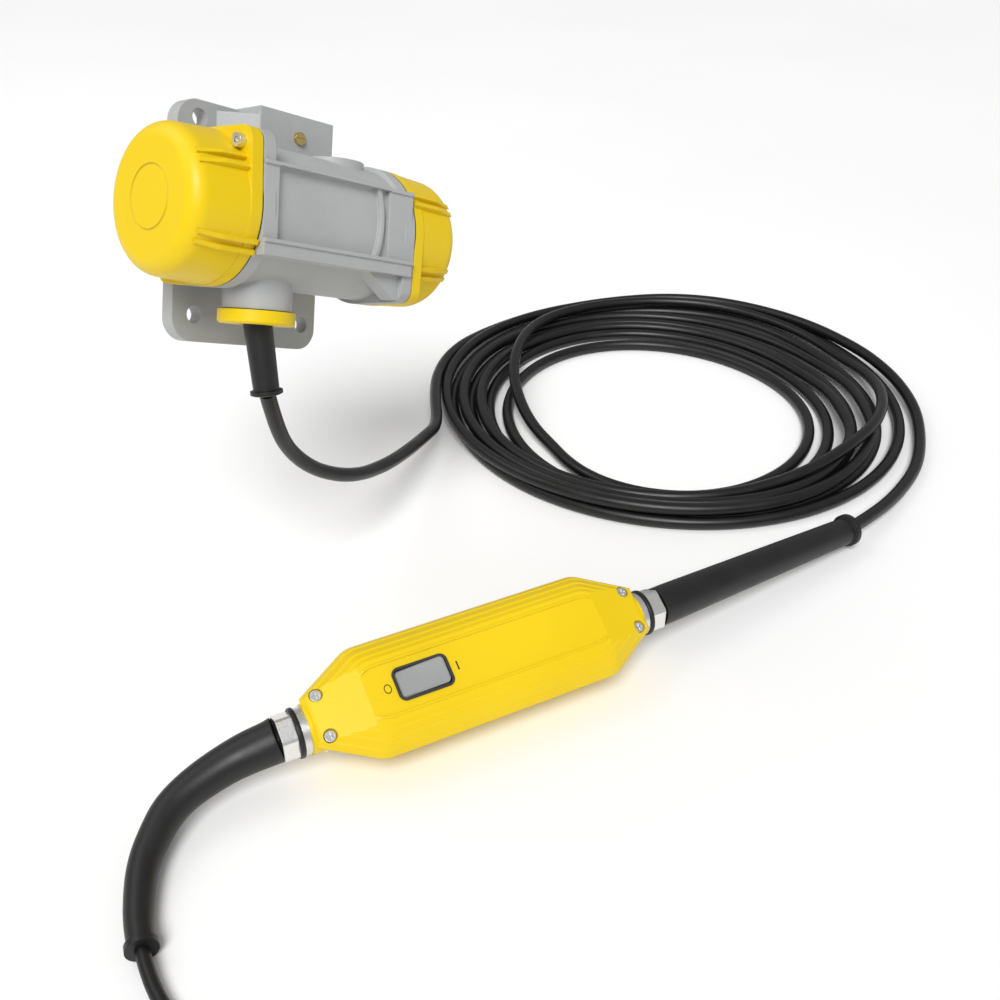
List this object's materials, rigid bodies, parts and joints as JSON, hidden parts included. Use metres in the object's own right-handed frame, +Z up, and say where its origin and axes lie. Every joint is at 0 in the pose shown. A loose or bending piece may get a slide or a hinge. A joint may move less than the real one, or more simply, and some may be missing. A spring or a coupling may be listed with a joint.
{
  "type": "external concrete vibrator",
  "caption": "External formwork vibrator: yellow-capped unbalance motor on a bolted base, with a coiled lead, an in-line converter with a rocker switch, and a mains lead.",
  "frame": {"origin": "centre of the base's hole pattern, on the base face that bolts to the formwork", "axes": "+Z up, square to the surface that the leads lie on; +X level, above the rotor axis, which dips towards it; +Y from the motor towards what the base is bolted to"},
  "size_m": [1.0806, 0.571, 0.3604],
  "materials": {
    "grey_casting": "satin",
    "yellow_paint": "satin",
    "black_rubber": "satin",
    "cable_rubber": "matte",
    "plug_rubber": "matte",
    "zinc_steel": "satin",
    "nickel_brass": "satin",
    "aluminium": "satin",
    "brass": "satin",
    "steel": "satin",
    "bearing_steel": "gloss",
    "stator_steel": "matte",
    "copper": "satin",
    "dark_plastic": "matte",
    "grey_plastic": "satin",
    "board": "matte",
    "capacitor_sleeve": "gloss"
  },
  "bodies": {
    "frame": {"capacitors": "capacitor_sleeve", "circuit_board": "board", "converter_bottom_shell": "yellow_paint", "converter_lead": "cable_rubber", "converter_screws": "zinc_steel", "converter_top_shell": "yellow_paint", "earth_screw": "brass", "heat_sink": "aluminium", "lead_sleeve": "black_rubber", "left_bearing_balls": "bearing_steel", "left_bearing_outer_ring": "bearing_steel", "left_bearing_shield": "grey_casting", "left_bend_protector": "black_rubber", "left_cap_gasket": "black_rubber", "left_cap_screws": "zinc_steel", "left_collar": "aluminium", "left_end_cap": "yellow_paint", "left_gland_nut": "nickel_brass", "left_seal_ring": "black_rubber", "mains_coil": "cable_rubber", "mains_lead": "cable_rubber", "mains_plug": "plug_rubber", "motor_housing": "grey_casting", "motor_lead": "cable_rubber", "motor_lead_coil": "cable_rubber", "plug_pins": "nickel_brass", "plug_tail": "cable_rubber", "right_bearing_balls": "bearing_steel", "right_bearing_outer_ring": "bearing_steel", "right_bearing_shield": "grey_casting", "right_bend_protector": "black_rubber", "right_cap_gasket": "black_rubber", "right_cap_screws": "zinc_steel", "right_collar": "aluminium", "right_end_cap": "yellow_paint", "right_gland_nut": "nickel_brass", "right_seal_ring": "black_rubber", "rocker_pin": "steel", "stator_core": "stator_steel", "stator_windings": "copper", "switch_body": "dark_plastic", "switch_frame": "dark_plastic", "terminal_block": "dark_plastic", "terminal_cover": "yellow_paint", "terminal_cover_seal": "black_rubber", "terminal_screws": "brass"},
    "rotor": {"rotor_shaft": "steel", "rotor_core": "aluminium", "left_fixed_weight": "steel", "right_fixed_weight": "steel", "left_outer_weight": "steel", "right_outer_weight": "steel", "weight_keys": "steel", "weight_spacers": "steel", "shaft_circlips": "zinc_steel", "left_bearing_inner_ring": "bearing_steel", "right_bearing_inner_ring": "bearing_steel"},
    "rocker": {"switch_rocker": "grey_plastic"}
  },
  "joints": [
    {"name": "rotor_spin", "type": "hinge", "parent": "frame", "child": "rotor", "pos_m": [0.00584, -0.05394, 0.01388], "axis": [0.9219, 0, -0.3875], "continuous": true},
    {"name": "switch_tip", "type": "hinge", "parent": "frame", "child": "rocker", "pos_m": [-0.07213, -0.24434, -0.21144], "axis": [0.2858, 0.8175, 0.5], "range_deg": [0, 12]}
  ]
}
